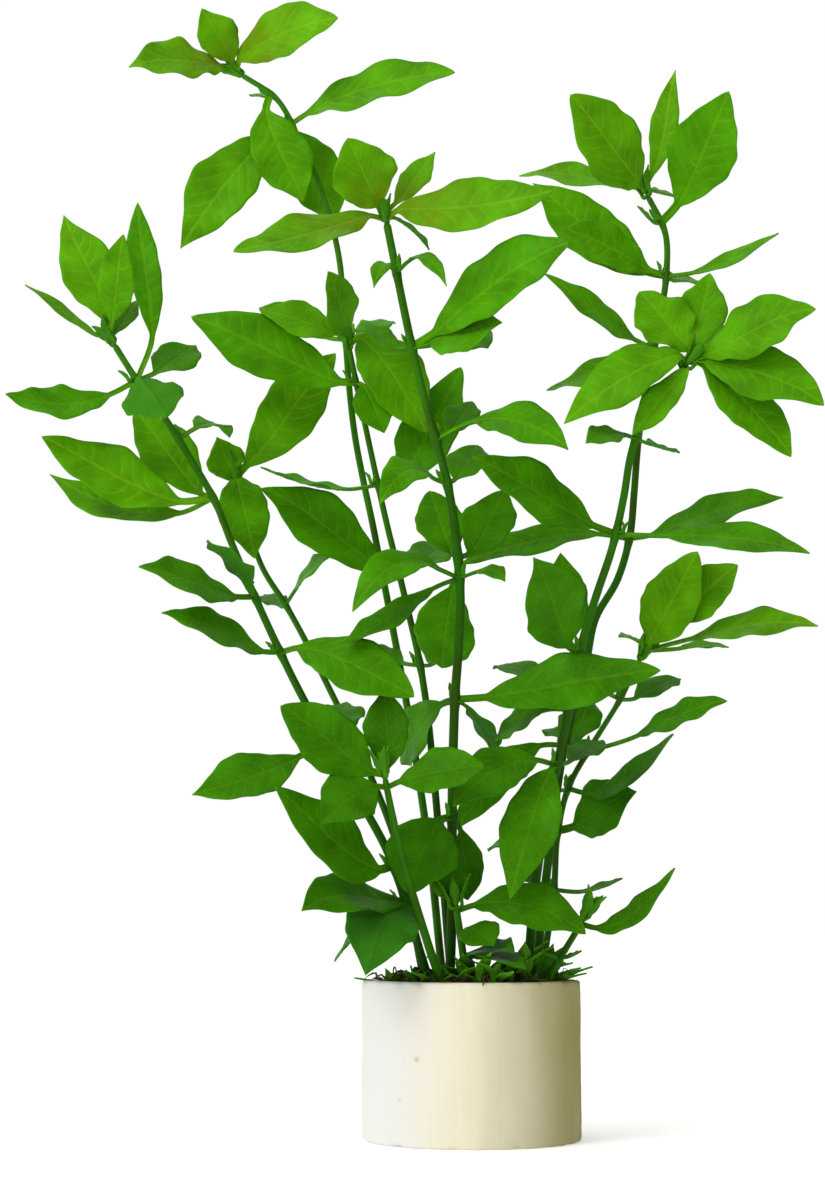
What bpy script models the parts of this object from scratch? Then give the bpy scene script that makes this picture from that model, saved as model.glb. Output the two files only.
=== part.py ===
"""A potted hygrophila: a bushy stem plant rooted in a plug inside a small ceramic pot.

Sizes below are in millimetres. The origin is the centre of the pot's base, +Z is up, +X is
to the right and -Y is the front. Every shoot is a stem with leaves at its nodes. The leaves
of one node are one solid: they are grown together round a collar that clasps the stem.
"""

import math

import bpy
from mathutils import Matrix, Vector
from mathutils.bvhtree import BVHTree

MM = 0.001
UP = Vector((0, 0, 1))
FRONT = Vector((0, -1, 0))

# The pot, turned from one profile, with its wall, floor and edge rounding.
POT_RADIUS = 20.0
POT_HEIGHT = 28.5
POT_WALL = 3.0
POT_FLOOR = 3.5
POT_EDGE = 0.7
POT_SIDES = 48
DRAIN_RADIUS = 2.2
DRAIN_RING = 9.0
DRAIN_COUNT = 3
DRAIN_SIDES = 16

# The growing plug, which fills the pot to a little under its rim.
CLEARANCE = 0.3
PLUG_TOP = 26.8
PLUG_EDGE = 0.8
PLUG_SIDES = 32
SOCKET_GAP = 0.5
ROOTED_TO = 14.0

# Stems, collars and buds.
STEM_SIDES = 6
STEM_STEP = 9.0
STEM_CAP = 0.4
COLLAR_WALL = 0.9
COLLAR_HEIGHT = 1.6
BUD_PROFILE = ((0.0, 0.75), (1.1, 1.15), (2.6, 0.8))
BUD_LENGTH = 4.2
BUD_GAP = 0.35
LAST_JOINT = 1.6
JOINT_SPREAD = 0.9
JOINT_OUT = 0.3
FLAT_TO_CORNER = 1 / math.cos(math.pi / STEM_SIDES)

# Leaves: how far along the blade each section lies, and how wide it is there.
BLADE = ((0.0, 0.10), (0.2, 0.5), (0.42, 0.95), (0.64, 0.92), (0.85, 0.5))
STALK_HALF_WIDTH = 0.45
RIB_ABOVE = 0.16
RIB_BELOW = 0.38
BLADE_FOLD = 0.16
LONGEST_STALK = 0.5

# A leaf's middle line is a cubic curve. It leaves the stem half outward and half towards the
# tip, bows a little to its upper side, and sags a little under its own weight.
BLADE_BOW = 0.05
BLADE_SAG = 0.8
LEAVING_AT = 0.14
LEAVING_LIFT = 0.9
ARRIVING_AT = 0.66
ARRIVING_LIFT = 1.4
SLOPE_STEP = 0.02

# A leaf that would touch something is moved back or forward until it stands clear of it.
LEAF_GAP = 0.35
NUDGES = (0, -1.5, 1.5, -3, 3, -4.5, 4.5, -6, 6, -8, 8, -10, 10, -12, 12, -14, 14)

COLOURS = {
    "ceramic": ((0.82, 0.77, 0.62), 0.75),
    "plug": ((0.045, 0.035, 0.02), 0.95),
    "stem": ((0.03, 0.10, 0.015), 0.5),
    "leaf": ((0.07, 0.26, 0.01), 0.45),
}


def leaf(x, y, z, width, face, rise=0, stalk=3):
    """A leaf: its tip from the node, its width, where its upper side looks (0 is up, 90 is
    the front), how far its middle rises above a straight line, and its stalk's length."""
    return {
        "tip": Vector((x, y, z)),
        "width": width,
        "face": math.radians(face),
        "rise": rise,
        "stalk": stalk,
    }


# Each shoot: the route of its stem above the plug, its radius at the foot and at the tip,
# the leaves round its bud, and then its leafy nodes from the top down, by their height.
SHOOTS = {
    "shoot_1": {
        "route": [
            (-7.5, -8, 27), (-13, -11.5, 46), (-17, -13, 55), (-31, -15, 80), (-42, -15.5, 103.5),
            (-46.5, -16, 114.5), (-56.5, -15.5, 131), (-63.5, -15, 140), (-65.5, -15, 144),
        ],
        "radii": (0.85, 0.6),
        "crown": [
            leaf(-10, 2, 25, 10, 80),
            leaf(3, -12, 17, 7, 75, stalk=4),
            leaf(-17, 3, 12, 4, 25),
            leaf(3, 10, 11, 4, 45, stalk=2),
        ],
        "nodes": {
            137: [
                leaf(-1, 4, 35, 6, 60, 0, 10),
                leaf(-22, -11, -5, 9, 55, -3, 5),
                leaf(9, 17, 11, 9, 60, stalk=5),
                leaf(7, -14, -10, 11, 65, 1, 4),
            ],
            126: [leaf(8, 17, 4, 7, 45, 3, 5)],
            115: [
                leaf(-16, 11, 19, 10, 60, stalk=5),
                leaf(-31, -2, 11, 11, 65, -1, 6),
                leaf(-31, 8, 6, 9, 45, -4, 6),
            ],
            97: [leaf(-7, -19, 7, 9, 40, 1, 4), leaf(-19, -17, 3, 11, 50, stalk=4)],
            87: [leaf(-20, -13, 5.5, 10, 45, 1), leaf(24, -11, -9, 12, 55, 0.5)],
            71: [leaf(-23, -10, -10, 11, 50, -1, 5), leaf(3, 20, 9, 9, 40, stalk=4)],
            49: [leaf(-20, -18, 13, 12, 60, -1.5), leaf(7, 19, 9, 9, 40, stalk=4)],
            42: [
                leaf(-18, -16, -1, 12, 45, 3),
                leaf(-7, -15, -12, 13, 50, 4),
                leaf(-13, 3, -10, 6, 15, 1, 5),
            ],
        },
    },
    "shoot_2": {
        "route": [
            (-8.5, 0.5, 27), (-14.5, 7, 56), (-31.5, 14, 93), (-40.5, 16.5, 108.5), (-45, 18, 124),
        ],
        "radii": (0.75, 0.55),
        "crown": [leaf(19, 2, 27, 12, 80, 1), leaf(4, -9, -16, 10, 70, 1), leaf(-4, -3, 9, 8, 65, 0, 1)],
        "nodes": {100: [leaf(9, -14, 7, 7, 55, 1, 4), leaf(-5, 15, 4, 6, 35, stalk=4)]},
    },
    "shoot_3": {
        "route": [
            (-5, 7, 27), (-7.5, 11.5, 52), (-12, 15, 81.5), (-18, 17.5, 113.5), (-22.5, 20, 137),
            (-25, 21.5, 166.5), (-26, 22, 174), (-29.5, 22, 186.5), (-36, 21.5, 200.5),
            (-40, 20.5, 206), (-45.5, 20, 209),
        ],
        "radii": (0.8, 0.58),
        "crown": [
            leaf(-21, -13, -3.5, 12, 65, 2, 3),
            leaf(-7.5, -6, 11.5, 8.5, 75, stalk=2),
            leaf(20, -11, 7.5, 12, 75, 1.5, 2),
            leaf(-3, 9, 6, 4, 60),
        ],
        "nodes": {
            205: [leaf(7, -2, -23, 12, 85), leaf(-4, 13, 5, 5, 45)],
            199: [
                leaf(33, -13, 6, 12, 60, 1, 3),
                leaf(-22, 0, -26, 13, 85, 2, 5),
                leaf(9, 12, -16, 12, 75, stalk=2),
            ],
            154: [leaf(-18, 9, 9, 9, 55, 1), leaf(9, 16, 8, 7, 30, 1, 4)],
        },
    },
    "shoot_4": {
        "route": [
            (-4, -4, 27), (-3.5, -5.5, 43), (-3.5, -8, 61), (-3, -10.5, 79), (-2, -12.5, 97.5),
            (-4, -14.5, 116.5), (-7.5, -16, 129.5), (-11, -16.5, 144), (-15.5, -17, 166.5),
        ],
        "radii": (0.95, 0.75),
        "crown": [
            leaf(-7, -7, 13.5, 12, 80, stalk=2),
            leaf(9, 2, 14, 6, 50),
            leaf(30, -12, 2, 12, 70, -2),
            leaf(-27, -13, -9.5, 11, 50, -1.5),
            leaf(8, 11, -2, 4, 40, 1),
        ],
        "nodes": {
            157: [leaf(-4, -11, -6, 3.5, 45, 3), leaf(9, -12, -6, 3.5, 45, 4)],
            143: [
                leaf(28, -16, 15, 13, 65, 2, 4),
                leaf(15, 12, 6, 11, 50),
                leaf(16, -10, 2, 13, 60),
                leaf(-9, 9, 7, 5, 35),
            ],
            126: [leaf(23, -15, -5, 10, 55, 4, 8), leaf(7, 13, 10, 7, 50, stalk=4)],
            118: [leaf(-12, -12, -6, 8, 50, 5, 2), leaf(6, 14, 10, 8, 40)],
            104.5: [leaf(-5, 14, 15, 9, 65), leaf(9, 8, 14, 10, 55, stalk=2)],
            101: [
                leaf(-19, -13, -8, 9, 40, 6),
                leaf(8, -9, -2, 5, 35, 2),
                leaf(-21, -10, -13, 7, 30, -2, 4),
                leaf(-3, 14, -15, 12, 60),
            ],
            79: [leaf(36, -12, 4, 12, 60, 0, 5), leaf(-10, 17, -10, 11, 60), leaf(7, 15, -8, 9, 40)],
            58: [leaf(3, 10, -15, 7, 45, stalk=4), leaf(-8, -8, -14, 13, 65, 2, 3)],
        },
    },
    "shoot_5": {
        "route": [
            (-3.5, 1.5, 27), (-5.5, 3.5, 52), (-8.5, 5, 82.5), (-13, 6.5, 103.5), (-16, 7, 116),
            (-20, 7, 134.5), (-23, 7, 149),
        ],
        "radii": (0.8, 0.55),
        "crown": [
            leaf(-17, -2, 6.5, 9, 60, 1, 2),
            leaf(-3.5, -14, 11, 9, 65, stalk=2),
            leaf(15, -5, -18, 12, 75, 2),
            leaf(5, 9, 5, 4, 45),
        ],
        "nodes": {
            142: [leaf(-32, 0, 13, 12, 80, 1, 2), leaf(5.5, -13, -11, 8, 65, 1)],
            122: [leaf(-22, -7, 2, 8, 20, -2, 5), leaf(16, 0, 23, 11, 65, -2)],
            105: [leaf(-26, 0, 15, 12, 65, 2, 2), leaf(10, 20, 9, 9, 40, stalk=4)],
            87: [leaf(-12, 16, 4, 7, 30, 1, 4), leaf(7, 16, 4, 7, 30, stalk=4)],
        },
    },
    "shoot_6": {
        "route": [
            (10, -4, 27), (11.5, -8, 46), (14, -10.5, 61), (16.5, -12, 72), (19, -14.5, 85.5),
            (21.5, -16, 94.5), (26, -18.5, 108.5), (29.5, -21.5, 126), (33.5, -24, 132.5),
            (38, -27, 137),
        ],
        "radii": (0.95, 0.65),
        "crown": [
            leaf(-8, 2, 14, 11, 65, stalk=2),
            leaf(5, 4, 18, 9, 55, stalk=2),
            leaf(21, -12, 7, 11, 70, 2),
            leaf(22, -12, -10, 12, 65, 2),
            leaf(17, -7, -18, 10, 60, 1),
            leaf(-22, -2, -11, 10, 65, 2),
            leaf(-24, 15, -1, 9, 50, stalk=4),
            leaf(-10, -2, -13, 6, 60),
        ],
        "nodes": {
            125: [leaf(-10, -10, -3, 6, 50, 1), leaf(8, 12, 0, 6, 40)],
            108: [leaf(-26, -11, 12, 12, 60, 0, 4), leaf(32, -16, -6, 9, 45, 1, 9)],
            87: [leaf(-9, -15, 15, 13, 70, 1, 3), leaf(-3, 5, 19, 9, 50)],
            77: [leaf(-13, 15, 9, 7, 25, 3, 4), leaf(-13, 14, -5, 9, 40, 1, 4)],
            67: [
                leaf(-19, -13, -8, 10, 55, 3, 4),
                leaf(-9, -9, -24, 10, 60, 2),
                leaf(10, 19, 6, 7, 25, stalk=5),
            ],
        },
    },
    "shoot_7": {
        "route": [
            (11.5, 1, 27), (14.5, 4, 50), (17.5, 7, 69.5), (22.5, 8.5, 88.5), (24.5, 9.5, 97),
            (30.5, 10.5, 109), (33.5, 12, 134), (36.5, 12, 150), (39, 13.5, 162.5),
            (39.5, 14, 173), (36, 15, 182),
        ],
        "radii": (0.88, 0.62),
        "crown": [
            leaf(-16, -13, 16, 14, 80, stalk=1),
            leaf(6, 0, 26, 5.5, 50),
            leaf(-25, 9, 7, 9, 45, 1.5),
            leaf(8, 11, 3, 5, 45, stalk=2),
        ],
        "nodes": {
            176: [leaf(12, -14, 22, 13, 80, stalk=5), leaf(-5, -5, 2, 4, 45, 0, 1)],
            165: [
                leaf(-26, 3, 20, 12, 80),
                leaf(20, -14, 4.5, 6, 50, -2, 5),
                leaf(-21, -9, 7, 10, 70, 1),
                leaf(9, 18, 4, 8, 45),
            ],
            150: [leaf(-22, -11, 12, 9, 50, -1, 4), leaf(18, 14, 8, 9, 50, stalk=4)],
            112: [leaf(27, -17, 5, 10, 50, 1, 4), leaf(-33, 0, -5, 9, 45, 1, 5)],
            72: [leaf(-21, 0, -16, 9, 50, 2, 4), leaf(6, 14, 10, 8, 30)],
        },
    },
    "shoot_8": {
        "route": [
            (13, 6.5, 27), (16, 9.5, 46), (17.5, 10.5, 60.5), (23, 10.5, 71.5), (29.5, 10.5, 82),
            (33, 11, 89),
        ],
        "radii": (0.7, 0.5),
        "crown": [
            leaf(9.5, -13, 18.5, 11, 70),
            leaf(-5, -9, 3, 3.5, 35, 1, 2),
            leaf(17, -13, 16, 9, 70, 1, 10),
            leaf(31, -17, 4, 9, 45, 2, 11),
            leaf(18, 8, 3, 4, 30, 1, 8),
        ],
        "nodes": {
            81: [leaf(13, 11, 5, 7, 30, 1, 4), leaf(-8, 14, 9, 7, 30, stalk=4)],
            71: [leaf(24, -18, 8, 7, 50, 1, 12), leaf(-8, 10, 5, 6, 25, 1, 4)],
            64: [leaf(18, -18, 9, 7, 50, -4, 6), leaf(-9, 15, -2, 8, 30, stalk=4)],
            56: [leaf(14, -13, 7, 13, 55, 1), leaf(-13, 15, -3, 9, 35, stalk=4)],
            45: [leaf(12, -10, 2, 4, 30, -1, 5), leaf(-8, 12, 6, 6, 25, stalk=4)],
        },
    },
}

# Short young shoots low in the pot. Stem and leaves are still one soft piece.
YOUNG_SHOOTS = {
    "shoot_9": {
        "route": [(-5.3, -12.5, 27), (-9.5, -18, 40), (-13, -23, 52), (-15.5, -26, 64)],
        "radii": (0.85, 0.65),
        "leaves": [
            (64, leaf(-18, -4, 12, 11, 75, 1)),
            (64, leaf(0, 3, 16, 8, 70)),
            (62.5, leaf(-11, -8, -7, 10, 65, 2)),
            (62.5, leaf(17, -5, 3, 9, 60, 1)),
        ],
    },
    "shoot_10": {
        "route": [(-1, -9, 27), (-2, -10, 34), (-3, -11, 42)],
        "radii": (0.8, 0.6),
        "leaves": [
            (41, leaf(22.5, -8, -4, 11, 45, 3, 4)),
            (41, leaf(-2, 12, 9, 7, 40)),
            (38, leaf(6, -9, -3, 8, 50, 1)),
            (33, leaf(9, -9, 1, 8, 30, 1, 2)),
            (33, leaf(11, -9, -2, 8, 15, 1, 2)),
        ],
    },
    "shoot_11": {
        "route": [(13.5, -7, 27), (15, -8, 33), (20, -9, 40)],
        "radii": (0.7, 0.5),
        "leaves": [
            (39.5, leaf(16, -8, 9, 5, 50, -4, 4)),
            (33, leaf(4, -5, 1, 3, 30, 0, 1)),
            (33, leaf(-3, -5, 1, 3, 30, 0, 1)),
        ],
    },
}


def material(name):
    found = bpy.data.materials.get(name)
    if found:
        return found
    colour, roughness = COLOURS[name]
    made = bpy.data.materials.new(name)
    made.use_nodes = True
    shader = made.node_tree.nodes["Principled BSDF"]
    shader.inputs["Base Color"].default_value = (*colour, 1)
    shader.inputs["Roughness"].default_value = roughness
    shader.inputs["Metallic"].default_value = 0
    made.diffuse_color = (*colour, 1)
    return made


def solid(name, points, faces, material_name=None):
    """An object from points in millimetres. It is moved to metres once it is finished."""
    mesh = bpy.data.meshes.new(name)
    mesh.from_pydata(points, [], faces)
    obj = bpy.data.objects.new(name, mesh)
    bpy.context.scene.collection.objects.link(obj)
    if material_name:
        mesh.materials.append(material(material_name))
    return obj


def combine(obj, others, operation):
    """Applies a Boolean of each of the others to the object, and removes the others."""
    for other in others:
        step = obj.modifiers.new(operation.title(), "BOOLEAN")
        step.operation = operation
        step.object = other
        step.solver = "EXACT"
        graph = bpy.context.evaluated_depsgraph_get()
        result = bpy.data.meshes.new_from_object(obj.evaluated_get(graph))
        obj.modifiers.clear()
        obj.data = result
        bpy.data.objects.remove(other)
    return obj


def finish(obj, smooth_angle=40):
    obj.data.transform(Matrix.Scale(MM, 4))
    obj.data.shade_smooth()
    obj.data.set_sharp_from_angle(angle=math.radians(smooth_angle))


def bridge(rings, first_cap, last_cap):
    """Points and faces of a tube through rings of equal size. Each cap is a point, or None
    for a flat end. Rings run anticlockwise seen from the last one."""
    sides = len(rings[0])
    points = [point for ring in rings for point in ring]
    faces = []
    for k in range(len(rings) - 1):
        for i in range(sides):
            j = (i + 1) % sides
            low, high = k * sides, (k + 1) * sides
            faces.append((low + i, low + j, high + j, high + i))
    for cap, start, turned in ((first_cap, 0, True), (last_cap, len(points) - sides, False)):
        ring = [start + i for i in range(sides)]
        if turned:
            ring.reverse()
        if cap is None:
            faces.append(tuple(ring))
            continue
        points.append(cap)
        faces += [(ring[i], ring[(i + 1) % sides], len(points) - 1) for i in range(sides)]
    return points, faces


def turned(name, profile, sides, material_name=None):
    """A solid of revolution about Z, with flat ends. The profile of (radius, height) runs
    from the middle of the lower end, up the outside, to the middle of the upper end."""
    rings = []
    for radius, height in profile:
        angles = [math.tau * i / sides for i in range(sides)]
        rings.append([Vector((radius * math.cos(a), radius * math.sin(a), height)) for a in angles])
    points, faces = bridge(rings, None, None)
    return solid(name, points, faces, material_name)


def prism(centre, radius, bottom, top, sides):
    """An upright prism to cut with, round a centre in the plan."""
    rings = []
    for height in (bottom, top):
        middle = Vector((centre[0], centre[1], height))
        angles = [math.tau * i / sides for i in range(sides)]
        rings.append([middle + Vector((math.cos(a), math.sin(a), 0)) * radius for a in angles])
    return solid("cutter", *bridge(rings, None, None))


def make_pot():
    inner = POT_RADIUS - POT_WALL
    profile = [
        (POT_RADIUS - POT_EDGE, 0),
        (POT_RADIUS, POT_EDGE),
        (POT_RADIUS, POT_HEIGHT - POT_EDGE),
        (POT_RADIUS - POT_EDGE, POT_HEIGHT),
        (inner + POT_EDGE, POT_HEIGHT),
        (inner, POT_HEIGHT - POT_EDGE),
        (inner, POT_FLOOR + POT_EDGE),
        (inner - POT_EDGE, POT_FLOOR),
    ]
    pot = turned("ceramic_pot", profile, POT_SIDES, "ceramic")
    drains = []
    for i in range(DRAIN_COUNT):
        angle = math.tau * i / DRAIN_COUNT + math.pi / 2
        centre = (DRAIN_RING * math.cos(angle), DRAIN_RING * math.sin(angle))
        drains.append(prism(centre, DRAIN_RADIUS, -1, POT_FLOOR + 1, DRAIN_SIDES))
    finish(combine(pot, drains, "DIFFERENCE"))


def make_plug():
    """The plug has a socket for each stem's rooted end."""
    radius = POT_RADIUS - POT_WALL - CLEARANCE
    bottom = POT_FLOOR + CLEARANCE
    foot = 2 * PLUG_EDGE
    profile = [
        (radius - foot, bottom),
        (radius, bottom + foot),
        (radius, PLUG_TOP - PLUG_EDGE),
        (radius - PLUG_EDGE, PLUG_TOP),
    ]
    plug = turned("growing_plug", profile, PLUG_SIDES, "plug")
    sockets = []
    for shoot in (*SHOOTS.values(), *YOUNG_SHOOTS.values()):
        hole = (shoot["radii"][0] + SOCKET_GAP) * FLAT_TO_CORNER
        low = ROOTED_TO - STEM_CAP - CLEARANCE
        sockets.append(prism(shoot["route"][0], hole, low, PLUG_TOP + 1, STEM_SIDES))
    finish(combine(plug, sockets, "DIFFERENCE"))


class Stem:
    """A stem along a smooth curve through its shoot's route, rooted straight down in the plug."""

    def __init__(self, route, radii):
        self.radii = radii
        curve = smooth_curve([Vector(point) for point in route])
        length = sum((b - a).length for a, b in zip(curve, curve[1:]))
        count = round(length / STEM_STEP)
        self.line = [walk(curve, length * k / count)[0] for k in range(count + 1)]
        self.length = sum((b - a).length for a, b in zip(self.line, self.line[1:]))

    def at(self, distance):
        """The point, direction and radius at a distance along the stem above the plug."""
        point, along = walk(self.line, distance)
        return point, along, self.radius_at(distance)

    def radius_at(self, distance):
        foot, tip = self.radii
        return foot + (tip - foot) * distance / self.length

    def distance_to(self, height):
        total = 0.0
        for a, b in zip(self.line, self.line[1:]):
            if b.z >= height:
                return total + (b - a).length * (height - a.z) / (b.z - a.z)
            total += (b - a).length
        return total

    def mesh(self):
        foot, tip = self.line[0], self.line[-1]
        rooted = Vector((foot.x, foot.y, ROOTED_TO))
        rings = [ring(rooted, UP, self.radii[0])]
        line = [rooted, *self.line, self.line[-1] * 2 - self.line[-2]]
        distance = 0.0
        for before, here, after in zip(line, line[1:], line[2:]):
            along = ((here - before).normalized() + (after - here).normalized()).normalized()
            rings.append(ring(here, along, self.radius_at(distance)))
            distance += (after - here).length
        return bridge(rings, rooted - UP * STEM_CAP, tip + along * STEM_CAP)


def smooth_curve(knots):
    """Points about 1 mm apart on a Catmull-Rom curve through the knots."""
    knots = [knots[0] * 2 - knots[1], *knots, knots[-1] * 2 - knots[-2]]
    curve = []
    for a, b, c, d in zip(knots, knots[1:], knots[2:], knots[3:]):
        count = max(4, round((c - b).length))
        for i in range(count):
            t = i / count
            bend = (2 * a - 5 * b + 4 * c - d) * t**2 + (3 * b - a - 3 * c + d) * t**3
            curve.append((2 * b + (c - a) * t + bend) / 2)
    return [*curve, knots[-2]]


def walk(line, distance):
    """The point and the direction at a distance along a line of points."""
    for a, b in zip(line, line[1:]):
        step = (b - a).length
        if distance <= step or b is line[-1]:
            break
        distance -= step
    return a + (b - a) * min(1, distance / step), (b - a).normalized()


def ring(centre, along, radius, sides=STEM_SIDES):
    """A ring of points round a direction, anticlockwise seen from its end."""
    side = along.cross(FRONT).normalized()
    other = along.cross(side)
    angles = [math.tau * i / sides for i in range(sides)]
    return [centre + side * radius * math.cos(a) + other * radius * math.sin(a) for a in angles]


def collar_mesh(centre, along, stem_radius):
    inner = (stem_radius + CLEARANCE) * FLAT_TO_CORNER
    half = along * COLLAR_HEIGHT / 2
    rings = [
        ring(centre - half, along, inner),
        ring(centre - half, along, inner + COLLAR_WALL),
        ring(centre + half, along, inner + COLLAR_WALL),
        ring(centre + half, along, inner),
    ]
    points = [point for r in rings for point in r]
    faces = []
    for k in range(4):
        for i in range(STEM_SIDES):
            j = (i + 1) % STEM_SIDES
            low, high = k * STEM_SIDES, (k + 1) % 4 * STEM_SIDES
            faces.append((low + i, low + j, high + j, high + i))
    return points, faces


def bud_mesh(foot, along):
    rings = [ring(foot + along * height, along, radius) for height, radius in BUD_PROFILE]
    return bridge(rings, None, foot + along * BUD_LENGTH)


def leaf_mesh(root, shape, nudge=0.0, grown=0.0):
    """A leaf of a node. The root is the node's centre, the point near it where the stalk
    starts, and the way out from the stem. nudge moves the tip back, grown thickens it."""
    centre, start, outward = root
    tip = centre + shape["tip"] + Vector((0, nudge, 0))
    straight = tip - start
    length = straight.length
    looks = UP * math.cos(shape["face"]) + FRONT * math.sin(shape["face"])
    looks = (looks - straight * looks.dot(straight) / length**2).normalized()
    lift = UP * (shape["rise"] - BLADE_SAG) + looks * length * BLADE_BOW
    ways = [
        start,
        start + (outward + straight / length) * length * LEAVING_AT + lift * LEAVING_LIFT,
        start + straight * ARRIVING_AT + lift * ARRIVING_LIFT,
        tip,
    ]

    def middle(t):
        u = 1 - t
        return u**3 * ways[0] + 3 * u * u * t * ways[1] + 3 * u * t * t * ways[2] + t**3 * ways[3]

    blade_start = min(LONGEST_STALK, shape["stalk"] / length)
    stations = [(0.0, STALK_HALF_WIDTH)]
    for part, wide in BLADE:
        half = max(STALK_HALF_WIDTH, wide * shape["width"] / 2)
        stations.append((blade_start + (1 - blade_start) * part, half))
    rings = []
    for t, half in stations:
        centre = middle(t)
        along = (middle(t + SLOPE_STEP) - middle(t - SLOPE_STEP)).normalized()
        normal = (looks - along * looks.dot(along)).normalized()
        across = along.cross(normal)
        edge = normal * half * BLADE_FOLD
        rings.append(
            [
                centre + across * (half + grown) + edge,
                centre - normal * (RIB_BELOW + grown),
                centre - across * (half + grown) + edge,
                centre + normal * (RIB_ABOVE + grown),
            ]
        )
    points, faces = bridge(rings, None, tip + straight / length * grown)
    return points, faces


def tree(meshes):
    points = [point for mesh in meshes for point in mesh[0]]
    faces = []
    start = 0
    for mesh in meshes:
        faces += [tuple(start + i for i in face) for face in mesh[1]]
        start += len(mesh[0])
    return BVHTree.FromPolygons(points, faces)


class Garden:
    """Every solid placed so far, so that a new leaf can be turned clear of them."""

    def __init__(self):
        self.placed = []

    def add(self, owner, mesh):
        self.placed.append((owner, mesh, tree([mesh])))

    def clear(self, owner, mesh):
        test = tree([mesh])
        return not any(other != owner and test.overlap(found) for other, _, found in self.placed)

    def place_leaf(self, owner, root, shape):
        for nudge in NUDGES:
            if self.clear(owner, leaf_mesh(root, shape, nudge, LEAF_GAP)):
                break
        else:
            print("no clear place for a leaf of", owner, shape)
            nudge = 0
        made = leaf_mesh(root, shape, nudge)
        self.add(owner, made)
        return made


def outward_from(along, tip):
    """The direction square to the stem that leads towards a leaf's tip."""
    return (tip - along * tip.dot(along)).normalized()


def node_name(shoot, index):
    return f"{shoot}_leaves_{index + 1}"


def plan_nodes(garden):
    """Places every stem, collar and bud, and lists the leafy nodes to grow on them."""
    jobs = []
    for name, shoot in SHOOTS.items():
        stem = Stem(shoot["route"], shoot["radii"])
        garden.add(f"{name}_stem", stem.mesh())
        tip, along, _ = stem.at(stem.length)
        foot = tip + along * (STEM_CAP + BUD_GAP)
        bud = bud_mesh(foot, along)
        garden.add(f"{name}_crown", bud)
        jobs.append((f"{name}_crown", bud, crown_starts(tip, along, shoot["crown"])))
        for index, (height, leaves) in enumerate(shoot["nodes"].items()):
            centre, along, radius = stem.at(stem.distance_to(height))
            collar = collar_mesh(centre, along, radius)
            reach = (radius + CLEARANCE) * FLAT_TO_CORNER + COLLAR_WALL / 2
            starts = []
            for shape in leaves:
                outward = outward_from(along, shape["tip"])
                starts.append(((centre, centre + outward * reach, outward), shape))
            garden.add(node_name(name, index), collar)
            jobs.append((node_name(name, index), collar, starts))
    for name, shoot in YOUNG_SHOOTS.items():
        stem = Stem(shoot["route"], shoot["radii"])
        garden.add(name, stem.mesh())
        starts = []
        for height, shape in shoot["leaves"]:
            centre, along, _ = stem.at(stem.distance_to(height))
            starts.append(((centre, centre, outward_from(along, shape["tip"])), shape))
        jobs.append((name, stem.mesh(), starts))
    return jobs


def crown_starts(tip, along, leaves):
    """Leaves join the bud one above the other, so that they fan out from it."""
    starts = []
    for order, shape in enumerate(leaves):
        outward = outward_from(along, shape["tip"])
        height = STEM_CAP + BUD_GAP + LAST_JOINT - JOINT_SPREAD * order / len(leaves)
        starts.append(((tip, tip + along * height + outward * JOINT_OUT, outward), shape))
    return starts


def make_shoots():
    garden = Garden()
    jobs = plan_nodes(garden)
    for name in SHOOTS:
        mesh = next(mesh for owner, mesh, _ in garden.placed if owner == f"{name}_stem")
        finish(solid(f"{name}_stem", *mesh, "stem"))
    for name, core, starts in jobs:
        blades = [garden.place_leaf(name, *start) for start in starts]
        core_object = solid(name, *core, "leaf")
        finish(combine(core_object, [solid("blade", *blade) for blade in blades], "UNION"))


def main():
    for obj in list(bpy.data.objects):
        bpy.data.objects.remove(obj)
    make_pot()
    make_plug()
    make_shoots()


main()
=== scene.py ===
# %% [markdown]
# # A potted hygrophila
#
# Hygrophila is a water plant that growers root as cuttings in a small porous clay pot. This
# script dresses a measured model of one: its pot, its plug, eight long shoots and three young
# ones. The model gives every place and size, and each step here grows one real thing on it,
# with a fine mesh and a finish worked out from what that thing is made of.

# %% Load the measured model
import math

import bmesh
import bpy
import numpy as np
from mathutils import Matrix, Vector, noise


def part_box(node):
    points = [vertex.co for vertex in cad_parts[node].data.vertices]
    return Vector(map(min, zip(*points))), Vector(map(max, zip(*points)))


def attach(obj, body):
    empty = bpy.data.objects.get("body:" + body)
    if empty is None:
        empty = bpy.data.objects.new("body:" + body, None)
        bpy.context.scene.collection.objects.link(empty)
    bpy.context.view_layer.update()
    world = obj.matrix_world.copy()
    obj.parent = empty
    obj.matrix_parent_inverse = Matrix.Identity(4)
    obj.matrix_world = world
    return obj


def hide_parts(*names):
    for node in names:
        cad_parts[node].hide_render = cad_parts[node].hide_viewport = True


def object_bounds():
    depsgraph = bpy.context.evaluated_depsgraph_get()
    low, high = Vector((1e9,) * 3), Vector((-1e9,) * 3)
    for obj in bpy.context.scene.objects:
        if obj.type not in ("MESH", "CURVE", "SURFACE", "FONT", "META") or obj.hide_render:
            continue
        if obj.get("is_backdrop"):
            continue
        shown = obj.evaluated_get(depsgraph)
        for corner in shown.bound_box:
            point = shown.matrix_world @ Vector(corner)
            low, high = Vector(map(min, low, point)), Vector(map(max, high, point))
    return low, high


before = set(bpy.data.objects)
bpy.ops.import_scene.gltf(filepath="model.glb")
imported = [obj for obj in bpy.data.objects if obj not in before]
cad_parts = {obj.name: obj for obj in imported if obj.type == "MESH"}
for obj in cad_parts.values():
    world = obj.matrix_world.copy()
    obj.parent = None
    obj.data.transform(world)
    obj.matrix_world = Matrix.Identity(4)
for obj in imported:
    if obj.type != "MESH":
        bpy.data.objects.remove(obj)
cad_low, cad_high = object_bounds()
MM = 0.001
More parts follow.
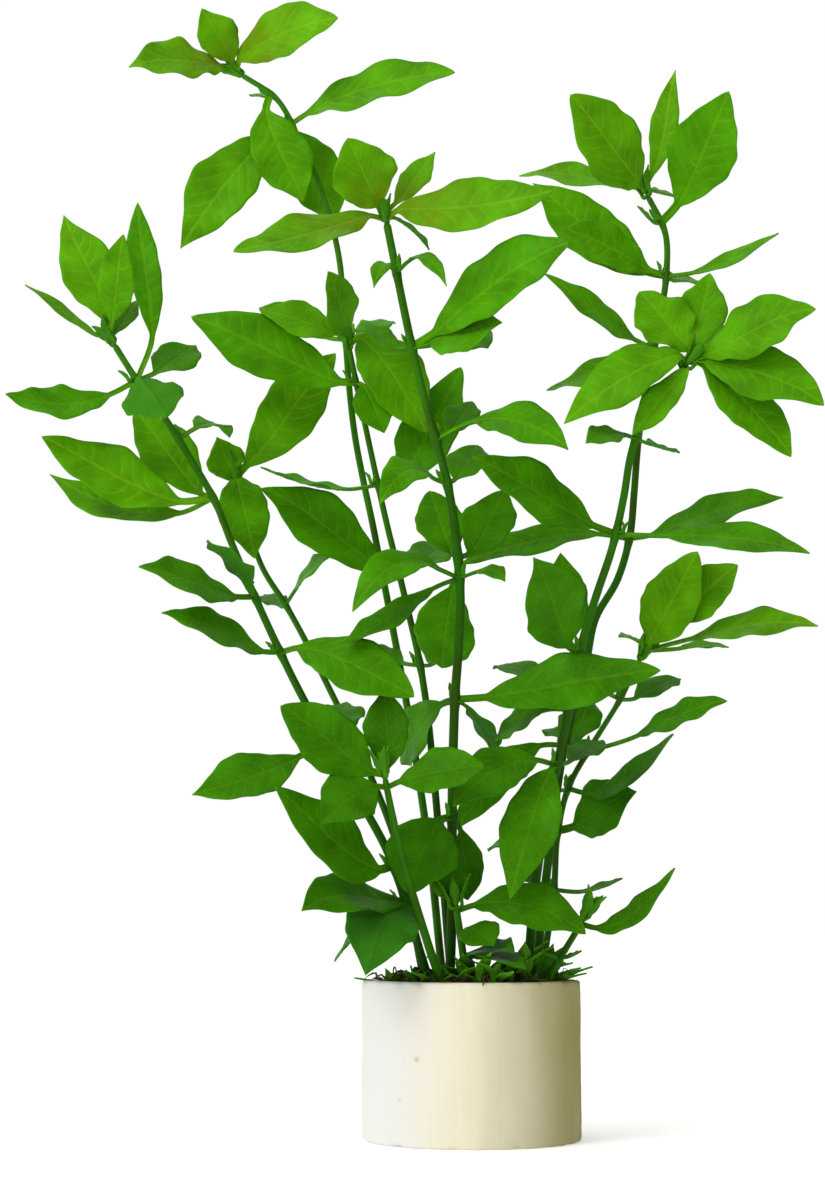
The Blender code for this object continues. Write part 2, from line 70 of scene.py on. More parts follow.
print("nodes", len(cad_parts), "height in mm", round((cad_high.z - cad_low.z) / MM, 1))

# %% [markdown]
# ## The camera
#
# A small product on a table is usually shown with a long lens from a little above the table,
# looking slightly up into the plant. A long lens keeps the pot's sides straight. The camera
# comes first, because everything after it is judged through it.

# %% Camera
camera_data = bpy.data.cameras.new("camera")
camera_data.sensor_fit = "VERTICAL"
camera_data.sensor_height = 36
camera_data.lens = 67.98
camera_data.clip_start = 0.01
camera = bpy.data.objects.new("camera", camera_data)
camera.location = (-0.0107, -0.420, 0.040)
camera.rotation_euler = (math.radians(97.95), 0, 0)
bpy.context.scene.collection.objects.link(camera)
bpy.context.scene.camera = camera
print("lens in mm", camera_data.lens)

# %% [markdown]
# ## Colours and shader nodes
#
# Colours are easiest to choose as the hex values of a colour picker. Those are sRGB, and a
# shader needs linear light, so one function turns them. A second function adds a shader node
# with its settings and links, which keeps each material below to a few readable lines. Some
# inputs only have numbers: 1 to 4 of a MapRange are the range it reads and the range it gives,
# and 0, 6 and 7 of a colour Mix are its share and its two colours. The scales of noise are in
# turns to the metre, so a scale of 160 gives blotches about 6 mm across.


# %% Helpers for materials
SMOOTH = "SMOOTHSTEP"


def linear(hex_colour):
    """A hex colour as linear red, green, blue and alpha."""
    parts = [int(hex_colour[i : i + 2], 16) / 255 for i in (1, 3, 5)]
    return (*[p / 12.92 if p <= 0.04045 else ((p + 0.055) / 1.055) ** 2.4 for p in parts], 1)


def add(tree, kind, inputs=None, **settings):
    """Adds a node with settings. Its inputs are given by name or number, as a value or as
    another node's output. Returns the new node's outputs."""
    node = tree.nodes.new("ShaderNode" + kind)
    for name, value in settings.items():
        setattr(node, name, value)
    for socket, value in (inputs or {}).items():
        if isinstance(value, bpy.types.NodeSocket):
            tree.links.new(value, node.inputs[socket])
        else:
            node.inputs[socket].default_value = value
    return node.outputs


def finish_called(name, roughness, ior):
    """A new material with its own node tree, and its surface shader."""
    material = bpy.data.materials.new(name)
    material.use_nodes = True
    shader = material.node_tree.nodes["Principled BSDF"]
    shader.inputs["Roughness"].default_value = roughness
    shader.inputs["IOR"].default_value = ior
    return material, material.node_tree, shader


def corner_values(tree, name):
    """The three numbers that each corner of a mesh carries under a name."""
    return add(tree, "SeparateXYZ", {0: add(tree, "Attribute", attribute_name=name)["Vector"]})


print("grey as linear light", linear("#808080"))

# %% [markdown]
# ## Reading the plant from the model
#
# The model's leaves are coarse solids: a tip, then rings of four corners, two at the margins
# and two at the midrib. Walking away from the tip one edge at a time meets those rings in
# turn, so the walk gives back each leaf's midrib, its width and the side that looks up. A stem
# is read the same way, from its root up, in rings of six corners.

# %% Read rings
WELD = 0.02 * MM
LEAF_RING = 4
STEM_RING = 6
MOST_RINGS = 100


def welded(node):
    """A node's mesh with the corners that lie on each other made one."""
    mesh = bmesh.new()
    mesh.from_mesh(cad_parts[node].data)
    bmesh.ops.remove_doubles(mesh, verts=mesh.verts, dist=WELD)
    mesh.verts.index_update()
    return mesh


def rings_from(start, size, most):
    """The rings met on a walk from a corner, for as long as each step finds one more ring."""
    rings, seen, edge = [], {start}, [start]
    while len(rings) < most:
        found = {e.other_vert(v) for v in edge for e in v.link_edges} - seen
        if len(found) != size:
            break
        seen |= found
        edge = sorted(found, key=lambda v: v.index)
        rings.append(edge)
    return rings


def in_mm(corners):
    return np.array([v.co for v in corners]) / MM


# %% Read stems
def read_stem(node):
    """A stem's centre line and its radius at each point, from the plug to the tip."""
    mesh = welded(node)
    lowest = min(mesh.verts, key=lambda v: v.co.z)
    rings = [in_mm(ring) for ring in rings_from(lowest, STEM_RING, MOST_RINGS)]
    line = [ring.mean(0) for ring in rings]
    radii = [np.linalg.norm(ring - ring.mean(0), axis=1).mean() for ring in rings]
    mesh.free()
    return np.array(line), np.array(radii)


stems = {}
for name in sorted(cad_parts):
    if name.endswith("_stem"):
        stems[name.removesuffix("_stem")] = read_stem(name)
print("stems", len(stems), "rings", sum(len(line) for line, _ in stems.values()))

# %% [markdown]
# ## Reading the leaves
#
# Each leaf becomes a short list of stations from its base to its tip, with a centre, a width
# and an upper side at each. The corners that no leaf claims belong to the collar at the node,
# and their middle is where the leaf stalks meet the stem.

# %% Read leaves
STATIONS = (0.85, 0.64, 0.42, 0.2, 0.0)
HALF_WIDTHS = (0.5, 0.92, 0.95, 0.5, 0.1)
RIB_ABOVE = 0.16
FEWEST_RINGS = 3


def read_station(ring):
    """The centre, half width and upper side of a ring of two margin and two rib corners."""
    points = in_mm(ring)
    pairs = [((0, 1), (2, 3)), ((0, 2), (1, 3)), ((0, 3), (1, 2))]
    pairs += [(ribs, margins) for margins, ribs in pairs]
    widest = max(pairs, key=lambda p: np.linalg.norm(points[p[0][0]] - points[p[0][1]]))
    a, b = points[list(widest[0])]
    ribs = sorted(points[list(widest[1])], key=lambda p: np.linalg.norm(p - (a + b) / 2))
    looks = (ribs[0] - ribs[1]) / np.linalg.norm(ribs[0] - ribs[1])
    return ribs[0] - looks * RIB_ABOVE, np.linalg.norm(a - b) / 2, looks


def read_leaves(node):
    """Every leaf of a node, and the corners that belong to none."""
    mesh = welded(node)
    claimed, leaves = set(), []
    for tip in mesh.verts:
        if len(tip.link_edges) != LEAF_RING:
            continue
        rings = rings_from(tip, LEAF_RING, len(STATIONS))
        if len(rings) < FEWEST_RINGS:
            continue
        claimed |= {tip, *(v for ring in rings for v in ring)}
        stations = [read_station(ring) for ring in rings]
        half = (stations[1][1] / HALF_WIDTHS[1] + stations[2][1] / HALF_WIDTHS[2]) / 2
        leaves.append({"tip": in_mm([tip])[0], "stations": stations, "half": half})
    rest = in_mm([v for v in mesh.verts if v not in claimed])
    mesh.free()
    return leaves, rest


leafy = {}
for name in sorted(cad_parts):
    if name.startswith("shoot_") and not name.endswith("_stem"):
        leafy[name] = read_leaves(name)
print("leafy nodes", len(leafy), "leaves", sum(len(found) for found, _ in leafy.values()))

# %% [markdown]
# A young shoot is one solid in the model, stem and leaves together. Its stem is read from the
# root up as far as its first leaves, and then goes straight on to the middle of its highest
# corners. Every stem is then carried a little past its end, into the bud.

# %% Finish the stem lines
BUD_REACH = 2.4
TOP_BAND = 1.5
TIP_SHARE = 0.8

for name, (found, rest) in leafy.items():
    if name.count("_") == 1:
        line, radii = read_stem(name)
        top = rest[rest[:, 2] > rest[:, 2].max() - TOP_BAND].mean(0)
        stems[name] = np.vstack([line, top]), np.append(radii, radii[-1] * TIP_SHARE)
print("stems with the young shoots", len(stems))


def lengthened(line):
    """A stem's line, carried on past its end into the bud."""
    step = line[-1] - line[-2]
    return np.vstack([line, line[-1] + step / np.linalg.norm(step) * BUD_REACH])


def nearest(line, point):
    """The point of a line of points that lies nearest to a given one."""
    best = None
    for a, b in zip(line, line[1:]):
        along = np.clip((point - a) @ (b - a) / ((b - a) @ (b - a)), 0, 1)
        here = a + (b - a) * along
        gap = np.linalg.norm(point - here)
        if best is None or gap < best[0]:
            best = gap, here, (b - a) / np.linalg.norm(b - a)
    return best[1], best[2]


# %% [markdown]
# ## One smooth curve for everything that grows
#
# Leaves, stalks and stems all follow curves through a few known points. Cubic pieces that
# share their slopes at the points give such a curve for widths as well as for places. Stems
# and strands of moss are round, so each needs directions out from its line, all round it.

# %% Smooth curves
def through(knots, values, at):
    """A smooth curve through values at knots, read at each place of at."""
    knots, values = np.asarray(knots, float), np.asarray(values, float)
    slopes = np.gradient(values, knots, axis=0)
    i = np.clip(np.searchsorted(knots, at) - 1, 0, len(knots) - 2)
    step = knots[i + 1] - knots[i]
    u = (at - knots[i]) / step
    if values.ndim > 1:
        u, step = u[:, None], step[:, None]
    start = (1 + 2 * u) * (1 - u) ** 2 * values[i] + u * (1 - u) ** 2 * step * slopes[i]
    end = u**2 * (3 - 2 * u) * values[i + 1] + u**2 * (u - 1) * step * slopes[i + 1]
    return start + end


def unit(vectors):
    return vectors / np.linalg.norm(vectors, axis=-1, keepdims=True)


def run_length(points):
    """The distance along a line of points, at each of them."""
    return np.append(0, np.cumsum(np.linalg.norm(np.diff(points, axis=0), axis=1)))


def level(angle, reach=1.0):
    """A level vector, turned by an angle from the x axis."""
    return np.array([math.cos(angle), math.sin(angle), 0.0]) * reach


def spokes(along, upright, sides):
    """Unit vectors out from each point of a line, evenly all round it."""
    side = unit(np.cross(along, upright))
    other = np.cross(along, side)
    turn = np.arange(sides) / sides * math.tau
    cosine, sine = np.cos(turn)[None, :, None], np.sin(turn)[None, :, None]
    return side[:, None] * cosine + other[:, None] * sine


UP = np.array([0.0, 0.0, 1.0])
print("halfway along a curve through 0, 1 and 0:", through([0, 1, 2], [0, 1, 0], np.array([0.5])))

# %% [markdown]
# ## A mesh that keeps its own measure
#
# A leaf's veins follow the leaf, not the room, so each corner of the mesh carries its own
# place on the leaf: how far it is to the side of the midrib and up the blade. The shader reads
# these as attributes. A second set says how young the leaf is, a number of its own to vary
# it by, and which corners are on its underside. That number is below zero on a leaf that has
# browned at its base.

# %% A growing piece
class Growth:
    """Gathers tubes and blades into one piece, with the attributes that its shader reads."""

    def __init__(self):
        self.points, self.faces, self.place, self.habit = [], [], [], []
        self.count = 0

    def add_tube(self, rings, place, habit):
        """A closed tube through rings of points, with flat ends. All arrays are ring by ring."""
        steps, sides = rings.shape[:2]
        low = self.count + np.arange(steps - 1)[:, None] * sides + np.arange(sides)[None]
        nxt = self.count + np.arange(steps - 1)[:, None] * sides + (np.arange(sides) + 1) % sides
        quads = np.stack([low, nxt, nxt + sides, low + sides], -1).reshape(-1, 4)
        self.faces += quads.tolist()
        last = self.count + (steps - 1) * sides
        half = sides // 2
        for start, turned in ((self.count, True), (last, False)):
            for k in range(half - 1):
                quad = [start + k, start + k + 1, start + sides - 2 - k, start + sides - 1 - k]
                self.faces.append(quad[::-1] if turned else quad)
        self.points.append(rings.reshape(-1, 3))
        self.place.append(np.broadcast_to(place, rings.shape).reshape(-1, 3))
        self.habit.append(np.broadcast_to(habit, rings.shape).reshape(-1, 3))
        self.count += steps * sides

    def piece(self, name, material, slot, nodes):
        mesh = bpy.data.meshes.new(name)
        points = np.vstack(self.points) * MM
        mesh.from_pydata(points.tolist(), [], self.faces)
        for label, values in (("place", self.place), ("habit", self.habit)):
            layer = mesh.attributes.new(label, "FLOAT_VECTOR", "POINT")
            layer.data.foreach_set("vector", np.vstack(values).astype(np.float32).ravel())
        mesh.shade_smooth()
        mesh.materials.append(material)
        piece = bpy.data.objects.new(name, mesh)
        bpy.context.scene.collection.objects.link(piece)
        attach(piece, "root")
        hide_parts(*nodes)
        return piece


# %% [markdown]
# ## The leaf material
#
# A hygrophila leaf grown above water is thin, soft and a fresh saturated green, with a satin
# cuticle on top and a duller, bluer underside. Its midrib and its side veins are paler, and
# the side veins leave the midrib in turn left and right, rise towards the tip and arch as
# they near the margin. Young leaves are yellow-green, and old ones low in the bush go dark.
# The veins are drawn by folding the corner's own place on the leaf, and they fade in and out
# with a noise, because the eye only catches some of them.

# %% Leaf material
VEIN_PAIRS = 9.5
VEIN_RISE = 0.72
VEIN_ARCH = 0.13
VEIN_HALF = 0.34
RIB_HALF = 0.16
NET_SCALE = 3.2
NET_SHARE = 0.08
BLOTCH_SCALE = 160
GRAIN_SCALE = 1800

OLD_GREEN = linear("#1d5203")
GROWN_GREEN = linear("#3f8303")
YOUNG_GREEN = linear("#559306")
VEIN_GREEN = linear("#83b618")
UNDERSIDE_GREEN = linear("#2f6e1a")
BLUSH = linear("#6c6608")

leaf_material, tree, shader = finish_called("hygrophila leaf", 0.42, 1.45)
place = corner_values(tree, "place")
habit = corner_values(tree, "habit")
aside = add(tree, "Math", {0: place["X"]}, operation="ABSOLUTE")[0]
rise = add(tree, "Math", {0: aside, 1: VEIN_RISE}, operation="MULTIPLY")[0]
arch = add(tree, "Math", {0: aside, 1: 2}, operation="POWER")[0]
arch = add(tree, "Math", {0: arch, 1: VEIN_ARCH}, operation="MULTIPLY")[0]
left = add(tree, "Math", {0: place["X"], 1: 0}, operation="GREATER_THAN")[0]
turn = add(tree, "Math", {0: place["Y"], 1: rise}, operation="SUBTRACT")[0]
turn = add(tree, "Math", {0: turn, 1: arch}, operation="SUBTRACT")[0]
turn = add(tree, "Math", {0: left, 1: 0.5, 2: turn}, operation="MULTIPLY_ADD")[0]
turn = add(tree, "Math", {0: turn}, operation="FRACT")[0]
off_vein = add(tree, "Math", {0: turn, 1: 2, 2: -1}, operation="MULTIPLY_ADD")[0]
off_vein = add(tree, "Math", {0: off_vein}, operation="ABSOLUTE")[0]
vein = {0: off_vein, 1: VEIN_HALF, 2: 0, 3: 0, 4: 1}
vein = add(tree, "MapRange", vein, interpolation_type=SMOOTH)[0]
margin = add(tree, "Math", {0: place["Z"]}, operation="ABSOLUTE")[0]
inner = {0: margin, 1: 0.97, 2: 0.6, 3: 0, 4: 1}
inner = add(tree, "MapRange", inner, interpolation_type=SMOOTH)[0]
on_blade = add(tree, "MapRange", {0: place["Y"], 1: 0.1, 2: 0.8, 3: 0, 4: 1})[0]
vein = add(tree, "Math", {0: vein, 1: inner}, operation="MULTIPLY")[0]
vein = add(tree, "Math", {0: vein, 1: on_blade}, operation="MULTIPLY")[0]
flat_place = add(tree, "CombineXYZ", {0: place["X"], 1: place["Y"], 2: habit["Y"]})[0]
fading = add(tree, "TexNoise", {"Vector": flat_place, "Scale": 0.9, "Detail": 2})[0]
fading = add(tree, "MapRange", {0: fading, 1: 0.35, 2: 0.65, 3: 0.25, 4: 1})[0]
vein = add(tree, "Math", {0: vein, 1: fading}, operation="MULTIPLY")[0]
rib = {0: aside, 1: RIB_HALF, 2: RIB_HALF / 4, 3: 0, 4: 1}
rib = add(tree, "MapRange", rib, interpolation_type=SMOOTH)[0]
all_veins = add(tree, "Math", {0: vein, 1: rib}, operation="MAXIMUM")[0]

cells = {"Vector": flat_place, "Scale": NET_SCALE}
cells = add(tree, "TexVoronoi", cells, feature="DISTANCE_TO_EDGE")[0]
netting = add(tree, "MapRange", {0: cells, 1: 0.09, 2: 0, 3: 0, 4: 1})[0]

old = add(tree, "MapRange", {0: habit["X"], 1: 0.0, 2: 0.5, 3: 0, 4: 1})[0]
young = add(tree, "MapRange", {0: habit["X"], 1: 0.5, 2: 1.0, 3: 0, 4: 1})[0]
colour = add(tree, "Mix", {0: old, 6: OLD_GREEN, 7: GROWN_GREEN}, data_type="RGBA")[2]
colour = add(tree, "Mix", {0: young, 6: colour, 7: YOUNG_GREEN}, data_type="RGBA")[2]
room = add(tree, "TexCoord")["Object"]
blotch = add(tree, "TexNoise", {"Vector": room, "Scale": BLOTCH_SCALE, "Detail": 3})[0]
blotch = add(tree, "MapRange", {0: blotch, 1: 0.3, 2: 0.7, 3: 0.74, 4: 1.26})[0]
colour = add(tree, "HueSaturation", {"Value": blotch, "Color": colour})[0]
strong = add(tree, "MapRange", {0: habit["X"], 1: 0.2, 2: 1.2, 3: 0.06, 4: 0.38})[0]
vein_share = add(tree, "Math", {0: all_veins, 1: strong}, operation="MULTIPLY")[0]
colour = add(tree, "Mix", {0: vein_share, 6: colour, 7: VEIN_GREEN}, data_type="RGBA")[2]
net_share = add(tree, "Math", {0: netting, 1: NET_SHARE}, operation="MULTIPLY")[0]
colour = add(tree, "Mix", {0: net_share, 6: colour, 7: VEIN_GREEN}, data_type="RGBA")[2]
blushing = add(tree, "Math", {0: habit["Y"], 1: 0}, operation="LESS_THAN")[0]
near_base = {0: place["Y"], 1: 7, 2: 1, 3: 0, 4: 0.5}
near_base = add(tree, "MapRange", near_base, interpolation_type=SMOOTH)[0]
blush = add(tree, "Math", {0: blushing, 1: near_base}, operation="MULTIPLY")[0]
blush = add(tree, "Math", {0: blush, 1: fading}, operation="MULTIPLY")[0]
colour = add(tree, "Mix", {0: blush, 6: colour, 7: BLUSH}, data_type="RGBA")[2]
under_share = add(tree, "Math", {0: habit["Z"], 1: 0.6}, operation="MULTIPLY")[0]
colour = add(tree, "Mix", {0: under_share, 6: colour, 7: UNDERSIDE_GREEN}, data_type="RGBA")[2]
tree.links.new(colour, shader.inputs["Base Color"])
dull = add(tree, "MapRange", {0: habit["Z"], 1: 0, 2: 1, 3: 0.4, 4: 0.62})[0]
tree.links.new(dull, shader.inputs["Roughness"])
grain = add(tree, "TexNoise", {"Vector": room, "Scale": GRAIN_SCALE, "Detail": 2})[0]
height = add(tree, "Math", {0: grain, 1: 0.05}, operation="MULTIPLY")[0]
height = add(tree, "Math", {0: height, 1: all_veins}, operation="SUBTRACT")[0]
bump = add(tree, "Bump", {"Strength": 0.35, "Distance": 0.15 * MM, "Height": height})
tree.links.new(bump[0], shader.inputs["Normal"])
shader.inputs["Specular IOR Level"].default_value = 0.03
shader.inputs["Subsurface Weight"].default_value = 0.15
shader.inputs["Subsurface Radius"].default_value = (0.5, 1.0, 0.15)
shader.inputs["Subsurface Scale"].default_value = 0.6 * MM
print("leaf material nodes", len(tree.nodes))

# %% [markdown]
# ## The shape of a leaf
#
# The outline is narrow at the stalk, widest a little above the middle, and drawn to a point
# that is sharper on some leaves than on others. The blade is cupped along the midrib, its
# margins wave, and its surface swells between the side veins. It is about a third of a
# millimetre thick at the midrib and thins to a fine margin, with the rib standing out below.
# All of that is one flattened tube, so the leaf is a closed solid with no stray faces. Its
# rows run across the blade, and its columns lie closer together towards the midrib.

# %% Leaf shape
STALK_HALF = 0.5
STALK_SHARE = 0.12
OUTLINE_AT = (0.0, 0.08, 0.2, 0.32, 0.42, 0.53, 0.64, 0.75, 0.85)
OUTLINE = (0.13, 0.35, 0.63, 0.86, 0.97, 1.0, 0.94, 0.78, 0.54)
SHARPNESS = (0.05, 0.6)
LAMINA = 0.26
MARGIN = 0.12
RIB_DEPTH = 0.42
RIB_WIDTH = 0.34
GROOVE = 0.14
QUILT = 0.16
CUP = 0.15
ROWS_PER_MM, FEWEST_ROWS, MOST_ROWS = 1.9, 22, 66
COLUMNS_PER_MM, FEWEST_COLUMNS, MOST_COLUMNS = 4.2, 9, 23
SLOW_RIPPLE, SLOW_TURNS = 0.05, 1.4
QUICK_RIPPLE, QUICK_TURNS = 0.025, 5.3
WAVE_TURNS = (1.6, 3.2)
WAVE_HEIGHT = (0.05, 0.11)


def outline(up, sharp):
    """Half the width of the blade against its greatest, by how far up it is. A sharp leaf
    draws in over its upper half, and a blunt one keeps its width and ends in a round tip."""
    last = OUTLINE_AT[-1]
    body = through(OUTLINE_AT, OUTLINE, np.clip(up, 0, last))
    end = OUTLINE[-1] * np.clip((1 - up) / (1 - last), 0, 1) ** (0.6 + 0.5 * sharp)
    drawn_in = 1 - sharp * np.clip(2 * up - 1, 0, 1) ** 2
    return np.where(up > last, end, body) * drawn_in


def off_the_vein(aside, up):
    """0 on a side vein and 1 midway between two, as the material draws them."""
    reach = np.abs(aside)
    turn = up - VEIN_RISE * reach - VEIN_ARCH * reach**2 + 0.5 * (aside > 0)
    return np.abs(2 * (turn % 1) - 1)


def leaf_course(leaf, foot, twisted):
    """Rows of points from a leaf's foot to its tip, with the directions across the blade and
    out of its upper side. Also how far up the blade each row is, and the blade's length."""
    centres = [centre for centre, _, _ in leaf["stations"]][::-1]
    looks = [look for _, _, look in leaf["stations"]][::-1]
    ups = list(STATIONS[: len(centres)])[::-1]
    stalk = STALK_SHARE if ups[0] == 0 else 0.0
    knots = np.array([foot, *centres, leaf["tip"]])
    looks = np.array([looks[0], *looks, looks[-1]])
    knots_at = run_length(knots)
    length = knots_at[-1]
    rows = int(np.clip(length * ROWS_PER_MM, FEWEST_ROWS, MOST_ROWS))
    at = np.linspace(0, length, rows)
    line = through(knots_at, knots, at)
    along = unit(np.gradient(line, at, axis=0))
    look = through(knots_at, looks, at)
    look = unit(look - along * (look * along).sum(1, keepdims=True))
    if twisted:
        look = -look
    up = np.interp(at, knots_at, [-stalk, *ups, 1.0])
    return line, np.cross(along, look), look, up, length * (1 - stalk)


def each_side(share, pair):
    """The first of a pair of numbers on one side of the midrib, and the second on the other."""
    return np.where(share > 0, pair[0], pair[1])


def grow_leaf(growth, leaf, foot, youth, dice, blushed=False, twisted=False):
    """Adds one leaf with its stalk, from its foot in the stem to its tip. A blushed leaf is
    brown towards its base, and a twisted one shows its underside."""
    line, across, look, up, blade = leaf_course(leaf, foot, twisted)
    half = leaf["half"]
    width = half * outline(np.clip(up, 0, 1), dice.uniform(*SHARPNESS))
    width = np.maximum(width, np.where(up > 0.5, 0.05, STALK_HALF))[:, None]
    columns = int(np.clip(half * COLUMNS_PER_MM, FEWEST_COLUMNS, MOST_COLUMNS)) | 1
    share = np.linspace(-1, 1, columns)[None]
    share = np.sign(share) * np.abs(share) ** 1.35
    to_margin = np.abs(share)
    full = np.clip(up, 0, 1)[:, None]
    swell = np.clip(full * 5, 0, 1) * np.clip((1 - full) * 6, 0, 1)
    uneven = dice.uniform(0, math.tau, 4)
    slow = np.sin(math.tau * SLOW_TURNS * full + each_side(share, uneven[:2]))
    quick = np.sin(math.tau * QUICK_TURNS * full + each_side(share, uneven[2:]))
    ripple = SLOW_RIPPLE * slow + QUICK_RIPPLE * quick
    wide = width * (1 + ripple * swell) * share

    aside = wide * VEIN_PAIRS / blade
    up_blade = np.broadcast_to((np.clip(up, -1, 1) * VEIN_PAIRS)[:, None], aside.shape)
    stray = dice.uniform(0, math.tau, 2)
    wander = 0.2 * np.sin(2.3 * aside + 0.7 * up_blade + stray[0])
    up_blade = up_blade + wander + 0.16 * np.sin(1.6 * up_blade - 1.2 * aside + stray[1])

    waves = dice.uniform(*WAVE_TURNS)
    starts = dice.uniform(0, math.tau, 2)
    height = dice.uniform(*WAVE_HEIGHT) * half
    wave = np.sin(math.tau * waves * full + each_side(share, starts)) * swell
    wave = wave * height * to_margin**2.2
    cup = CUP * width * to_margin**1.6
    quilt = QUILT * np.sqrt(np.clip(off_the_vein(aside, up_blade), 0, 1)) * swell
    quilt = quilt * np.clip((1 - to_margin) * 3, 0, 1) * np.clip(half / 4, 0.3, 1)
    middle = wave + cup + quilt
    thick = MARGIN + (LAMINA - MARGIN) * (1 - share**2)
    thick = np.minimum(thick, 0.25 + 0.3 * width)
    near_rib = np.exp(-((wide / RIB_WIDTH) ** 2))
    top = middle + thick / 2 - GROOVE * (1 - full) * near_rib
    below = middle - thick / 2 - RIB_DEPTH * (1 - 0.8 * full) * near_rib

    flat = line[:, None] + across[:, None] * wide[..., None]
    upper = flat + look[:, None] * top[..., None]
    under = flat + look[:, None] * below[..., None]
    rings = np.concatenate([upper, under[:, ::-1]], axis=1)
    place = np.stack([aside, up_blade, np.broadcast_to(share, aside.shape)], -1)
    place = np.concatenate([place, place[:, ::-1]], axis=1)
    side = np.concatenate([np.zeros(columns), np.ones(columns)])
    seed = dice.uniform(1, 20) * (-1 if blushed else 1)
    habit = np.stack([np.full(2 * columns, youth), np.full(2 * columns, seed), side], -1)
    growth.add_tube(rings, place, habit[None])


sharpest = outline(np.array([0.25, 0.5, 0.75, 0.95]), SHARPNESS[1])
print("the sharpest leaf's half width, going up it", sharpest.round(2))

# %% [markdown]
# ## Leaves at every node
#
# The leaves of one node are made as one piece, as they are one solid in the model. A bud is
# the same leaf, small and still folded up against its stem, so it is grown by the same
# function: three pairs of them close each growing tip, and one pair sits in each leaf axil.

# %% Buds
TIP_BUD = ((6.5, 1.1, 0.42), (5.0, 0.9, 0.28), (3.4, 0.7, 0.12))
SIDE_BUD = ((2.6, 0.55, 0.35),)


def bud_leaf(foot, up_stem, outward, length, half, lean):
    """A leaf still folded up against its stem, as read_leaves would give it."""
    stations = []
    for up in STATIONS:
        out = math.sin(lean) * (0.35 * up + 0.65 * up**2)
        centre = foot + (up_stem * math.cos(lean) * up + outward * (out + 0.12)) * length
        stations.append((centre, half, unit(up_stem * math.sin(lean) - outward * math.cos(lean))))
    tip = foot + (up_stem * math.cos(lean) + outward * (math.sin(lean) + 0.12)) * length
    return {"tip": tip, "stations": stations, "half": half}


def grow_bud(growth, foot, up_stem, facing, pairs, dice):
    """Pairs of folded leaves, each pair square to the one below it. A pair is given as its
    leaves' length and half width in mm and how far they lean out in radians."""
    for order, (length, half, lean) in enumerate(pairs):
        outward = unit(facing - up_stem * (facing @ up_stem))
        if order % 2:
            outward = np.cross(up_stem, outward)
        for way in (1, -1):
            size = dice.uniform(0.85, 1.1)
            leaf = bud_leaf(foot, up_stem, outward * way, length * size, half, lean)
            grow_leaf(growth, leaf, foot, dice.uniform(0.7, 0.9), dice)
        foot = foot + up_stem * length * 0.1


print("pairs of leaves in a bud at the tip", len(TIP_BUD))

# %% [markdown]
# Leaves near a tip are younger and paler than leaves low on the stem, and each leaf varies a
# little. Some are out of the ordinary, and are named here: two crowns have a brown blush from
# strong light, two leaves have turned over, and a few nodes are paler than their height says.

# %% Grow the leaves
BLUSHED = ("shoot_3_crown", "shoot_4_crown")
TWISTED = ("shoot_1_leaves_1", "shoot_1_leaves_8")
YOUNGER = {"shoot_1_leaves_3": 0.3, "shoot_8_crown": 0.35, "shoot_2_crown": 0.05}
TALLEST = cad_high.z / MM
leaf_count = 0
for number, (name, (found, rest)) in enumerate(leafy.items()):
    shoot = name.split("_leaves")[0].removesuffix("_crown")
    line = lengthened(stems[shoot][0])
    collar, _ = nearest(line, rest.mean(0))
    lowest = min(found, key=lambda leaf: leaf["tip"][2])
    growth = Growth()
    for order, leaf in enumerate(found):
        dice = np.random.default_rng([number, order])
        base = leaf["stations"][-1][0]
        if "_leaves_" in name:
            foot = collar
        else:
            foot, up_stem = nearest(line, base)
            foot = foot - up_stem * 0.8
        height = collar[2] / TALLEST
        youth = 0.12 + 0.62 * height + (0.2 if "_crown" in name else 0)
        youth += YOUNGER.get(name, 0) + dice.uniform(-0.08, 0.08)
        twisted = name in TWISTED and leaf is lowest
        grow_leaf(growth, leaf, foot, youth, dice, name in BLUSHED, twisted)
        leaf_count += 1
    dice = np.random.default_rng([number, len(found)])
    if "_leaves_" in name:
        _, up_stem = nearest(line, collar)
        out = unit(found[0]["tip"] - collar)
        out = unit(out - up_stem * (out @ up_stem))
        grow_bud(growth, collar + out * 0.9 + up_stem * 0.6, up_stem, out, SIDE_BUD, dice)
    else:
        up_stem = unit(line[-1] - line[-2])
        grow_bud(growth, line[-2], up_stem, level(number), TIP_BUD, dice)
    growth.piece(name + "_blades", leaf_material, "leaf", [name])
print("leaves grown", leaf_count)

# %% [markdown]
# ## Stems
#
# The stems are fleshy, a couple of millimetres thick, faintly four-sided and dark green, paler
# near the tip. They swell at each node. A fine tube along the stem's own line gives this. The
# colour runs from the foot's to the tip's, and one shoot is pale all the way up.

# %% Stem material
STEM_GREEN = linear("#184604")
STEM_TIP_GREEN = linear("#36780a")
STEM_BROWN = linear("#2f3407")

stem_material, tree, shader = finish_called("hygrophila stem", 0.45, 1.45)
shader.inputs["Specular IOR Level"].default_value = 0.05
place = corner_values(tree, "place")
habit = corner_values(tree, "habit")
colour = add(tree, "Mix", {0: habit["X"], 6: STEM_GREEN, 7: STEM_TIP_GREEN}, data_type="RGBA")[2]
room = add(tree, "TexCoord")["Object"]
blotch = add(tree, "TexNoise", {"Vector": room, "Scale": 120, "Detail": 3})[0]
blotch = add(tree, "MapRange", {0: blotch, 1: 0.45, 2: 0.75, 3: 0, 4: 0.7})[0]
colour = add(tree, "Mix", {0: blotch, 6: colour, 7: STEM_BROWN}, data_type="RGBA")[2]
tree.links.new(colour, shader.inputs["Base Color"])
streaks = add(tree, "CombineXYZ", {0: place["X"], 1: place["Y"], 2: habit["Y"]})[0]
streak = add(tree, "TexNoise", {"Vector": streaks, "Scale": 1.0, "Detail": 2})[0]
bump = add(tree, "Bump", {"Strength": 0.4, "Distance": 0.12 * MM, "Height": streak})
